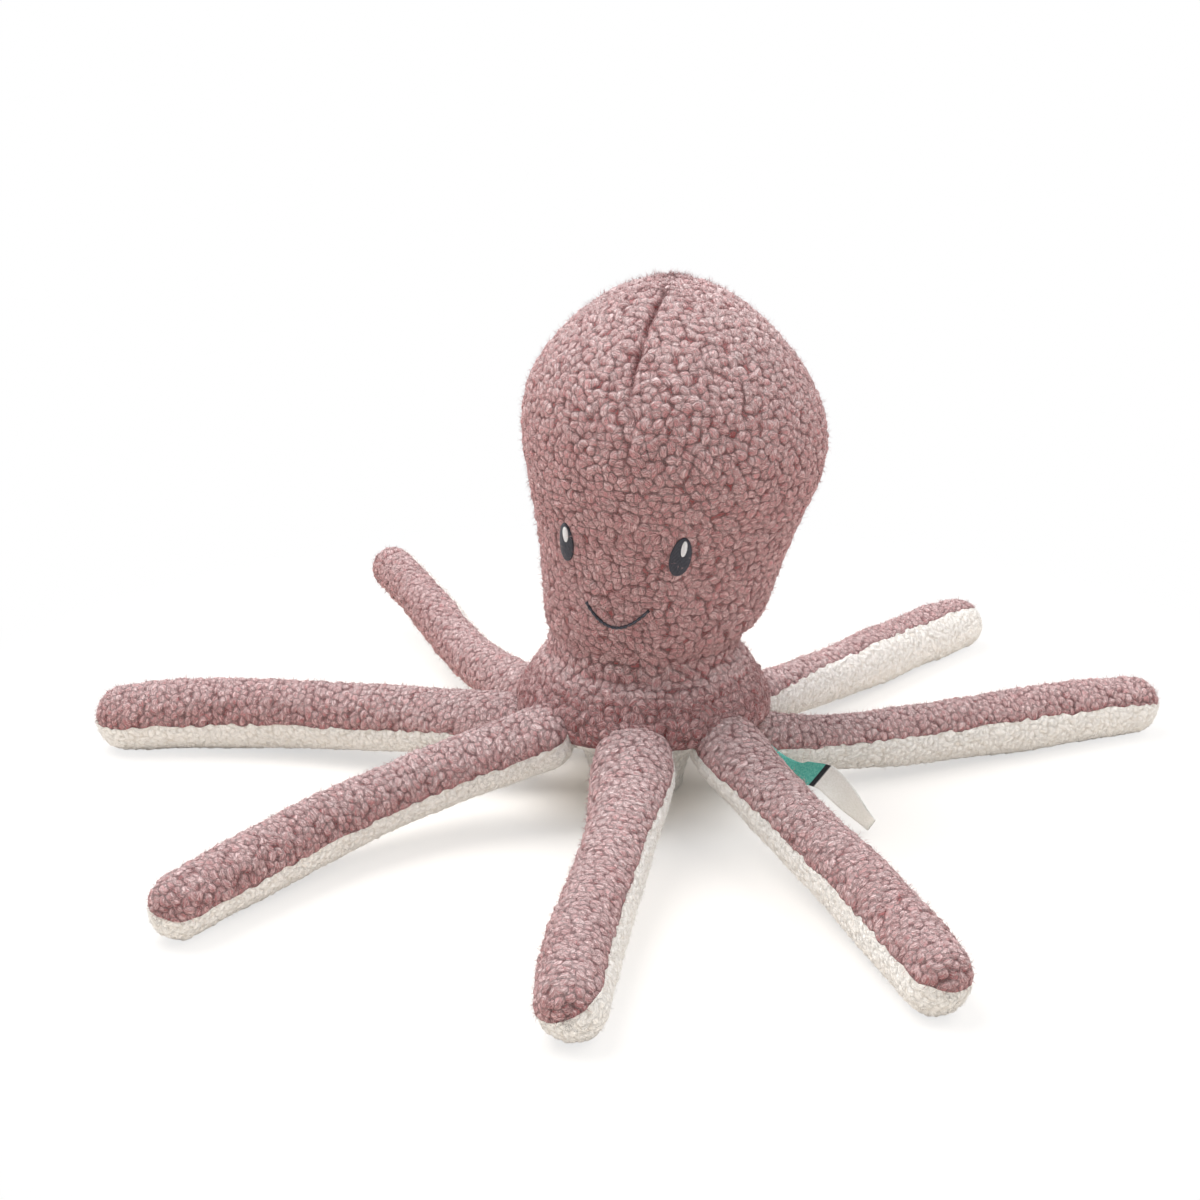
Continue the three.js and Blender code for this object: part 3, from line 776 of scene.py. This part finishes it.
def cream_pile(points, along, turn, hem):
    """The pile of the base, drawn in where it meets the hem."""
    height, opened, tint, local = pile_height(CREAM_BODY, points, along, turn, CREAM_PITCH, CREAM_PILE)
    near = smooth(np.abs(along - EDGE_ALONG) / 0.8)
    height = height * (0.4 + 0.6 * near) - 0.3 * (1 - near) - 0.9 * hem
    # Painted shade along the hem's groove
    return height, opened * (0.5 + 0.5 * near), tint, local


def body_covers():
    shell = body_shell()
    above_hem = ((0, 0, SKIRT_EDGE), (0, 0, -1))
    below_hem = ((0, 0, SKIRT_EDGE), (0, 0, 1))
    before_seam = ((0, 0, 0), (0, 1, 0))
    behind_seam = ((0, 0, 0), (0, -1, 0))
    cuts = {"head_front": [above_hem, before_seam], "head_back": [above_hem, behind_seam], "base": [below_hem]}
    for name, planes in cuts.items():
        piece = cut_piece(shell, planes)
        co = read_points(piece)
        along = read_values(piece, "along")
        folded_in = read_values(piece, "fold") > 0.5
        seam_way = co[:, 1].copy()
        co[:, 1] += side_seam(co[:, 2])
        turn = body_turn(co)
        points, out = body_surface(along, turn)
        hem = np.exp(-((along - EDGE_ALONG) / 5) ** 2)
        if name == "base":
            material, slot = CREAM, "cream_plush"
            fibres = dict(count=1500, length=1.6, seed=71, lowest=FIBRES_ABOVE_FLOOR)
            drop = 0
            height, opened, tint, local = cream_pile(points, along, turn, hem)
        else:
            material, slot = ROSE, "rose_plush"
            fibres = dict(count=5200, length=2.3, seed=72, lowest=0)
            drop = 2.6 * hem * ~folded_in
            height, opened, tint, local = rose_pile(points, along, turn, seam_way)
            if name == "head_front":
                height, opened = with_dart(points, along, turn, height, opened)
            # Painted shade on the skirt under the head: its pile is painted darker below the neck
            skirt_painted_shade = smooth((68 - points[:, 2]) / 12)
            opened = opened * (1 - 0.58 * skirt_painted_shade)
        points = points + out * np.where(folded_in, -TUCK, height)[:, None]
        points[:, 2] -= drop
        points = room_for_roots(points, along)
        points[:, 2] = np.maximum(points[:, 2], 0.0)
        write_points(piece, points * MM)
        write_plush(piece, opened, tint, local)
        with_fibres(piece, **fibres)
        obj = finish_piece(f"{name}_cover", piece, material, f"{name}_panel")
        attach(obj, "body")
    bpy.data.meshes.remove(shell)


body_covers()


# Limb covers: shaped straight, cut along the seam, then bent along each limb's way

def limb_shape(number):
    """A limb's straight surface, the way that it is bent and the sizes that go with them."""
    limb = LIMBS[number]
    azimuth, _, root = limb_root(number)
    length = LIMB_LENGTH * limb["length"]
    steps = 96
    s = np.linspace(0, 1, steps + 1)
    half_width = LIMB_HALF_WIDTH * limb["girth"] * np.interp(s, *zip(*WIDTHS))
    half_height = LIMB_HALF_HEIGHT * limb["girth"] * np.interp(s, *zip(*HEIGHTS))
    flare = 1 + limb["flare"] * np.exp(-(s * length / FLARE_REACH) ** 2)
    half_width = half_width * flare
    half_height = half_height * (0.5 + 0.5 * flare)
    roll = np.radians(limb["roll"]) * (ROOT_ROLL + (1 - ROOT_ROLL) * smooth(s / FULL_ROLL))
    tall = np.hypot(half_width / flare * np.sin(roll), half_height / (0.5 + 0.5 * flare) * np.cos(roll))
    clear = root[2] - tall[0] + REST_CUT
    z = tall - REST_CUT + clear * (1 - s) ** SETTLE + length * limb["rise"] * s * s
    heading = np.radians(azimuth + limb["turn"] + limb["bend"] * s + limb["curl"] * s * s)
    step = length / steps
    x = root[0] + np.concatenate([[0], np.cumsum(np.cos(heading[:-1]) * step)])
    y = root[1] + np.concatenate([[0], np.cumsum(np.sin(heading[:-1]) * step)])
    way = np.stack([x, y, z], axis=1)
    forward = unit(np.gradient(way, axis=0))
    left = unit(np.cross(np.array([0, 0, 1.0]), forward))
    top = np.cross(forward, left)
    turned = left * np.cos(roll)[:, None] + top * np.sin(roll)[:, None]
    top = np.cross(forward, turned)
    at = s * length
    tip = half_height[-1]
    root_width = BALL * (1 + 0.9 * limb["flare"])
    root_arc = BALL * math.pi / 2
    tip_arc = tip * math.pi / 2
    total = root_arc + (length - tip) + tip_arc

    def width_at(d):
        w = np.interp(d, at, half_width)
        return root_width + (w - root_width) * smooth(d / (0.8 * BALL))

    def height_at(d):
        h = np.interp(d, at, half_height)
        return BALL + (h - BALL) * smooth(d / (0.8 * BALL))

    def bend(p):
        """Straight points carried onto the limb's way."""
        d = np.clip(p[:, 0], 0, length)
        past = p[:, 0] - d
        place, ahead, side, above = [np.stack([np.interp(d, at, v[:, c]) for c in range(3)], axis=1)
                                     for v in (way, forward, turned, top)]
        return place + ahead * past[:, None] + side * p[:, 1:2] + above * p[:, 2:3]

    def stretch_at(along):
        """A ring's angles round the root ball and round the tip's end, and its distance from the root."""
        start = np.clip(along / root_arc, 0, 1) * math.pi / 2
        end = np.clip((along - total + tip_arc) / tip_arc, 0, 1) * math.pi / 2
        return start, end, np.clip(along - root_arc, 0, length - tip)

    def surface(along, turn):
        """Straight points and outward directions. Turn 0 is the limb's left side, a quarter is its top."""
        angle = turn * 2 * np.pi
        start, end, d = stretch_at(along)
        ring = np.sin(start) * np.cos(end)
        p = np.stack([
            d - BALL * np.cos(start) + tip * np.sin(end),
            width_at(d) * ring * np.cos(angle),
            height_at(d) * ring * np.sin(angle),
        ], axis=1)
        out = np.stack([
            -np.cos(start) + np.sin(end),
            np.cos(angle) * ring,
            np.sin(angle) * ring,
        ], axis=1)
        return p, unit(out)

    def around_at(along):
        """The limb's girth at a ring."""
        start, end, d = stretch_at(along)
        return np.pi * (width_at(d) + height_at(d)) * np.sin(start) * np.cos(end) + 1e-3

    return dict(surface=surface, around_at=around_at, bend=bend, total=total, root=root, root_arc=root_arc,
                forward=forward[0])


def limb_covers(number):
    limb = LIMBS[number]
    shape = limb_shape(number)
    shell, rise, turn = globe(LIMB_AROUND, int(shape["total"] / LIMB_ROW))
    along = rise * shape["total"]
    write_points(shell, shape["surface"](along, turn)[0])
    write_values(shell, "along", along)
    level = LIMB_SEAM_RISE * limb["girth"]
    kinds = {
        "top": dict(cut_way=-1, material=ROSE, slot="rose_plush", fibre=2.1, scatter=0.3, lean_spread=0.5,
                    pitch=ROSE_PITCH * 0.95, pile=ROSE_PILE * 0.95),
        "under": dict(cut_way=1, material=CREAM, slot="cream_plush", fibre=1.5, scatter=0.34, lean_spread=1.0,
                      pitch=CREAM_PITCH, pile=CREAM_PILE),
    }
    for kind, cover in kinds.items():
        piece = cut_piece(shell, [((0, 0, level), (0, 0, cover["cut_way"]))])
        straight = read_points(piece)
        along = read_values(piece, "along")
        folded_in = read_values(piece, "fold") > 0.5
        d = np.clip(along - shape["root_arc"], 0, None)
        turn = share_of_turn(straight[:, 1] / LIMB_HALF_WIDTH, straight[:, 2] / LIMB_HALF_HEIGHT)
        _, out = shape["surface"](along, turn)
        curls = Curls(shape["surface"], shape["total"], shape["around_at"], cover["pitch"], cover["scatter"],
                      50 + number, cover["lean_spread"])
        height, opened, tint, local = pile_height(curls, straight, along, turn, cover["pitch"], cover["pile"])
        flatter = 0.6 + 0.4 * smooth((d - 12) / 40)
        near = smooth(np.abs(straight[:, 2] - level) / 1.6)
        height = (height * (0.5 + 0.5 * near) - 0.2 * (1 - near)) * flatter
        # Painted shade along the seam, and darker towards the tip
        opened = opened * (0.6 + 0.4 * near) * (1 - 0.2 * smooth((d - 50) / 70))
        lump = 0.7 * cloudy(straight + 40 * number, 30, 61) + 0.35 * cloudy(straight + 40 * number, 12, 62)
        height = height + lump * smooth(d / 25)
        points = straight + out * np.where(folded_in, -TUCK, height)[:, None]
        scallop = 0.9 * cloudy(straight * (1, 0, 0), 4.2, 63) + 0.5 * cloudy(straight * (1, 0, 0), 2.0, 64)
        points[:, 2] += scallop * np.exp(-((straight[:, 2] - level) / 3) ** 2)
        points = shape["bend"](points)
        low = points[:, 2] < FLATTENED_BELOW
        points[low, 2] = FLATTENED_BELOW * np.exp((points[low, 2] - FLATTENED_BELOW) / 3)
        write_points(piece, points * MM)
        write_plush(piece, opened, tint, local)
        with_fibres(piece, 1800, cover["fibre"], 80 + number, FIBRES_ABOVE_FLOOR)
        name = limb["name"]
        node = f"{name}_{kind}_panel"
        obj = finish_piece(f"{name}_{kind}_cover", piece, cover["material"], node)
        start = shape["root"] + shape["forward"] * BEND_START
        end = shape["root"] + shape["forward"] * BEND_END
        tuple(start * MM)
        tuple(end * MM)
        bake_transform(obj)
    bpy.data.meshes.remove(shell)


for number in range(len(LIMBS)):
    limb_covers(number)


# Face embroidery: domes of satin stitch, sunk a little into the plush

def satin(name, colour, second, roughness):
    """Thread laid side by side: fine ridges across the stitched patch."""
    finish = Finish(name, roughness, Specular_IOR_Level=0.35, Sheen_Weight=0.1)
    ridge = (finish.attribute("stitch") * (2 * math.pi)).maths("SINE") * 0.5 + 0.5
    wobble = finish.noise(finish.place(), 700.0)
    # Painted shade between the threads: each groove goes to the darker tone, with a random tone from the wobble
    finish.colour(finish.mix((ridge * 0.7 + wobble * 0.5 - 0.15).kept(), second, colour))
    finish.bump(ridge + wobble * 0.4, 0.6, 0.0002)
    return finish.material


CHARCOAL = satin("charcoal thread", tone(76, 78, 88), tone(38, 38, 46), 0.5)
WHITE = satin("white thread", tone(250, 250, 250), tone(214, 214, 218), 0.5)


def along_head(z0, azimuth, x, y):
    """Points and outward directions of the head beside one spot, x to the side and y up in millimetres."""
    along = along_of_height(z0) + y
    radius = level_at(along, 1)
    turn = (azimuth / 360 + x / (2 * np.pi * radius)) % 1.0
    return body_surface(along, turn)


def stitched_dome(node, azimuth, z0, width, height, low, thick, material, thread_pitch, lean):
    """A raised patch of stitches on the face. Its rim stands out by low, and lean narrows its top."""
    name = f"{node}_stitching"
    bm = bmesh.new()
    bmesh.ops.create_uvsphere(bm, u_segments=64, v_segments=32, radius=1.0)
    mesh = bpy.data.meshes.new(name)
    bm.to_mesh(mesh)
    bm.free()
    co = read_points(mesh)
    x = co[:, 0] * width / 2 * (1 - lean * co[:, 1])
    y = co[:, 1] * height / 2
    points, out = along_head(z0, azimuth, x, y)
    dome = np.sign(co[:, 2]) * np.abs(co[:, 2]) ** 0.7
    stitch = (y + 0.35 * x) / thread_pitch
    ridge = 0.09 * np.cos(stitch * 2 * np.pi) * np.clip(co[:, 2], 0, 1)
    points = points + out * (low + thick * np.maximum(dome, -0.6) + ridge)[:, None]
    write_points(mesh, points * MM)
    write_values(mesh, "stitch", stitch)
    obj = finish_piece(name, mesh, material, node)
    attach(obj, "body")


EYE_SHIFT = 0.6
EYE_TALL = 18.6
SHINE_TALL = 7.6
SHINE_RISE = 4.2
EYE_STITCHES = {
    "left": dict(side=-1, width=8.4, shine_width=3.1, shine_turn=0.9),
    "right": dict(side=1, width=9.2, shine_width=2.5, shine_turn=0.6),
}
for name, eye in EYE_STITCHES.items():
    azimuth = FACE_AZIMUTH + eye["side"] * EYE_SPREAD / 2 - EYE_SHIFT
    shine_azimuth = azimuth + eye["shine_turn"]
    stitched_dome(
        f"{name}_eye", azimuth, EYE_HEIGHT, eye["width"], EYE_TALL,
        low=0.4, thick=1.2, material=CHARCOAL, thread_pitch=0.62, lean=0.09,
    )
    stitched_dome(
        f"{name}_eye_highlight", shine_azimuth, EYE_HEIGHT + SHINE_RISE, eye["shine_width"], SHINE_TALL,
        low=1.3, thick=0.75, material=WHITE, thread_pitch=0.55, lean=0.0,
    )


def smile_thread():
    """One line of stitches along the smile."""
    steps = 90
    stitches = 15
    bm = bmesh.new()
    bmesh.ops.create_cone(bm, cap_ends=True, segments=10, radius1=1.0, radius2=1.0, depth=1.0)
    uprights = [e for e in bm.edges if abs(e.verts[0].co.z - e.verts[1].co.z) > 0.5]
    bmesh.ops.subdivide_edges(bm, edges=uprights, cuts=steps - 1, use_grid_fill=True)
    mesh = bpy.data.meshes.new("smile")
    bm.to_mesh(mesh)
    bm.free()
    co = read_points(mesh)
    u = np.clip(co[:, 2] + 0.5, 0, 1)
    spread = 2 * u - 1
    azimuth, z = smile_line(spread)
    slope = np.arctan2(2 * SMILE_DROP * spread * 2 / SMILE_SPREAD, 1.0)
    radius = 0.62 + 0.12 * np.cos(u * 2 * np.pi * stitches)
    across = co[:, 0] * radius
    along = along_of_height(z) + across * np.cos(slope)
    turn = (azimuth / 360 - across * np.sin(slope) / (2 * np.pi * level_at(along, 1))) % 1.0
    points, out = body_surface(along, turn)
    points = points + out * (0.55 + co[:, 1] * radius)[:, None]
    write_points(mesh, points * MM)
    write_values(mesh, "stitch", u * stitches)
    obj = finish_piece("smile_stitching", mesh, CHARCOAL, "smile")
    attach(obj, "body")


smile_thread()


# The label: a woven ribbon folded once at its end, both ends sewn into the skirt's seam

LABEL_LENGTH = 68.5
LABEL_WIDTH = 12.2
LABEL_THICK = 0.22
LABEL_DROOP = 32.4
LABEL_AZIMUTH = -4.0
LABEL_TWIST = 70.0
LABEL_TURNED = 0.5
LABEL_SAG = 21.0
LABEL_SAGS_TO = 0.62
LABEL_TUCK_IN = 4.0
LABEL_TUCK_DOWN = 6.0
BODY_SIDES = 24


def label_finish():
    """Woven ribbon: teal at its sewn end, then a dark stripe, then white."""
    finish = Finish("label cloth", 0.6, Specular_IOR_Level=0.3, Sheen_Weight=0.1)
    down = finish.attribute("down")
    weave = finish.noise(finish.place(), 1400.0)
    paler_share = weave.eased(0.3, 0.7)
    pale = finish.mix(paler_share, tone(244, 244, 240), tone(254, 254, 252))
    teal = finish.mix(paler_share, tone(88, 186, 172), tone(120, 208, 194))
    dark = finish.mix(paler_share, tone(26, 28, 34), tone(48, 50, 58))
    inner = finish.mix(down.eased(0.52, 0.525), teal, dark)
    finish.colour(finish.mix(down.eased(0.55, 0.56), inner, pale))
    finish.bump(weave, 0.3, 0.0001)
    return finish.material


def label_ribbon():
    """The ribbon runs out from the seam and back in beside itself, turning and sagging on its way."""
    bm = bmesh.new()
    bmesh.ops.create_grid(bm, x_segments=12, y_segments=96, size=0.5)
    bmesh.ops.solidify(bm, geom=bm.faces[:], thickness=0.02)
    mesh = bpy.data.meshes.new("label")
    bm.to_mesh(mesh)
    bm.free()
    co = read_points(mesh)
    way = (co[:, 1] + 0.5) * 2
    out_leg = way <= 1
    t = np.where(out_leg, way, 2 - way)
    ply = np.where(co[:, 2] > np.median(co[:, 2]), 0.5, -0.5) * LABEL_THICK
    gap = 0.28 * np.sqrt(np.clip(1 - t ** 8, 0, 1)) + 0.9 * t * (1 - t)
    depth_at = np.where(out_leg, gap, -gap) + np.where(out_leg, ply, -ply)
    droop = math.radians(LABEL_DROOP)
    turned = np.radians(LABEL_TWIST) * smooth(t / LABEL_TURNED) + np.radians(50) * smooth((t - 0.6) / 0.4)
    root_reach = SKIRT_RADIUS * math.cos(math.pi / BODY_SIDES) + 0.3
    lean = NECK_LEAN * HEAD_LEAN
    azimuth = math.radians(LABEL_AZIMUTH)
    outward = np.array([math.cos(azimuth), math.sin(azimuth), 0])
    root = outward * root_reach + np.array([lean * LEAN_X, lean * LEAN_Y, SKIRT_EDGE])
    hump = 3.0 * np.sin(np.pi * t * 1.2) * (t > 0.4)
    sag = hump - LABEL_SAG * np.sin(np.pi * np.clip(t / LABEL_SAGS_TO, 0, 1)) ** 2
    heading = outward * math.cos(droop) - np.array([0, 0, math.sin(droop)])
    rise = outward * math.sin(droop) + np.array([0, 0, math.cos(droop)])
    across = np.cross(rise, heading)
    width = across[None, :] * np.cos(turned)[:, None] + rise[None, :] * np.sin(turned)[:, None]
    depth = np.cross(np.broadcast_to(heading, width.shape), width)
    middle = root + heading * (t * (LABEL_LENGTH - 0.6))[:, None] + rise * sag[:, None] * 0.5
    tucked = 1 - smooth(t / 0.35)
    middle = middle - (outward * LABEL_TUCK_IN + np.array([0, 0, LABEL_TUCK_DOWN])) * tucked[:, None]
    curve = 1.6 * (co[:, 0] * 2) ** 2 * t
    pinched = 0.6 + 0.4 * smooth(t / 0.45)
    points = middle + width * (co[:, 0] * LABEL_WIDTH * pinched)[:, None] + depth * (depth_at + curve)[:, None]
    points[:, 2] = np.maximum(points[:, 2], 0.3)
    write_points(mesh, points * MM)
    write_values(mesh, "down", t)
    obj = finish_piece("label_ribbon", mesh, label_finish(), "label")
    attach(obj, "label_strip")


label_ribbon()


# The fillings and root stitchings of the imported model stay, inside the covers

for node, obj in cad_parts.items():
    stitching = node.endswith("root_stitching")
    obj.data.materials.clear()
    obj.data.materials.append(ROSE_THREAD if stitching else FILLING)


# Camera: the picture's point that shows a spot above the origin sets where it stands

PICTURE = 1200
SPOT_IN_PICTURE = (637, 713)
SPOT = np.array([0, 0, 35.0])
CAMERA_PITCH = math.radians(19.6)
CAMERA_TURN = math.radians(25)
FOCAL = 2200.0
SENSOR = 36.0
DISTANCE = 1008.0


def add_camera():
    across = np.array([math.cos(CAMERA_TURN), math.sin(CAMERA_TURN), 0])
    level = np.array([-math.sin(CAMERA_TURN), math.cos(CAMERA_TURN), 0])
    looking = level * math.cos(CAMERA_PITCH) - np.array([0, 0, math.sin(CAMERA_PITCH)])
    upward = np.cross(across, looking)
    right_of_middle = (SPOT_IN_PICTURE[0] - PICTURE / 2) / FOCAL
    above_middle = (PICTURE / 2 - SPOT_IN_PICTURE[1]) / FOCAL
    place = SPOT - DISTANCE * (looking + right_of_middle * across + above_middle * upward)
    data = bpy.data.cameras.new("camera")
    data.sensor_width = SENSOR
    data.lens = SENSOR * FOCAL / PICTURE
    camera = bpy.data.objects.new("camera", data)
    bpy.context.scene.collection.objects.link(camera)
    axes = Matrix([Vector(across), Vector(upward), Vector(-looking)]).transposed().to_4x4()
    camera.matrix_world = Matrix.Translation(Vector(place * MM)) @ axes
    bpy.context.scene.camera = camera


add_camera()


# Floor: it is shaded near the toy, and seen as plain white further away

def floor_finish():
    finish = Finish("floor", 1.0, Specular_IOR_Level=0.0, Base_Color=(0.94, 0.885, 0.82, 1.0))
    rays = ("Camera", "Glossy", "Transmission")
    camera, glossy, through = [finish.node("ShaderNodeLightPath", output=f"Is {ray} Ray") for ray in rays]
    seen_directly = (camera + glossy + through).kept()
    far = finish.node("ShaderNodeVectorMath", dict(operation="LENGTH"), [finish.place()], "Value")
    whiteness = seen_directly * (0.05 + far.eased(0.02, 0.08) * 0.5 + far.eased(0.1, 0.4) * 0.45)
    shaded = Value(finish, finish.shader.outputs[0])
    white = finish.node("ShaderNodeEmission", None, dict(Color=(1, 1, 1, 1), Strength=1.0))
    blend = finish.node("ShaderNodeMixShader", None, [whiteness, shaded, white])
    finish.links.new(blend.socket, finish.nodes["Material Output"].inputs["Surface"])
    return finish.material


def add_floor():
    bm = bmesh.new()
    bmesh.ops.create_grid(bm, x_segments=1, y_segments=1, size=6.0)
    mesh = bpy.data.meshes.new("floor")
    bm.to_mesh(mesh)
    bm.free()
    mesh.materials.append(floor_finish())
    floor = bpy.data.objects.new("floor", mesh)
    bpy.context.scene.collection.objects.link(floor)


add_floor()


# Light: a pale studio that the camera sees as white, and two soft lamps

WHITE_LIGHT = (1.0, 1.0, 1.0, 1.0)
STUDIO_STRENGTH = 0.48


def add_studio():
    world = bpy.data.worlds.new("studio")
    bpy.context.scene.world = world
    world.use_nodes = True
    nodes, links = world.node_tree.nodes, world.node_tree.links
    light = nodes["Background"]
    light.inputs["Color"].default_value = WHITE_LIGHT
    light.inputs["Strength"].default_value = STUDIO_STRENGTH
    shown = nodes.new("ShaderNodeBackground")
    shown.inputs["Color"].default_value = WHITE_LIGHT
    path = nodes.new("ShaderNodeLightPath")
    chosen = nodes.new("ShaderNodeMixShader")
    links.new(path.outputs["Is Camera Ray"], chosen.inputs[0])
    links.new(light.outputs[0], chosen.inputs[1])
    links.new(shown.outputs[0], chosen.inputs[2])
    links.new(chosen.outputs[0], nodes["World Output"].inputs["Surface"])


def add_lamp(name, place, size, power):
    """A round soft lamp that shines on the middle of the toy."""
    data = bpy.data.lights.new(name, "AREA")
    data.shape = "DISK"
    data.size = size
    data.energy = power
    lamp = bpy.data.objects.new(name, data)
    bpy.context.scene.collection.objects.link(lamp)
    lamp.location = place
    lamp.rotation_mode = "QUATERNION"
    lamp.rotation_quaternion = (Vector((0, 0, 0.1)) - Vector(place)).to_track_quat("-Z", "Y")


add_studio()
add_lamp("key", (-0.85, 0.0, 1.7), 1.6, 44)
add_lamp("fill", (0.9, 0.5, 1.4), 1.5, 16)

bpy.context.scene.view_settings.view_transform = "Standard"
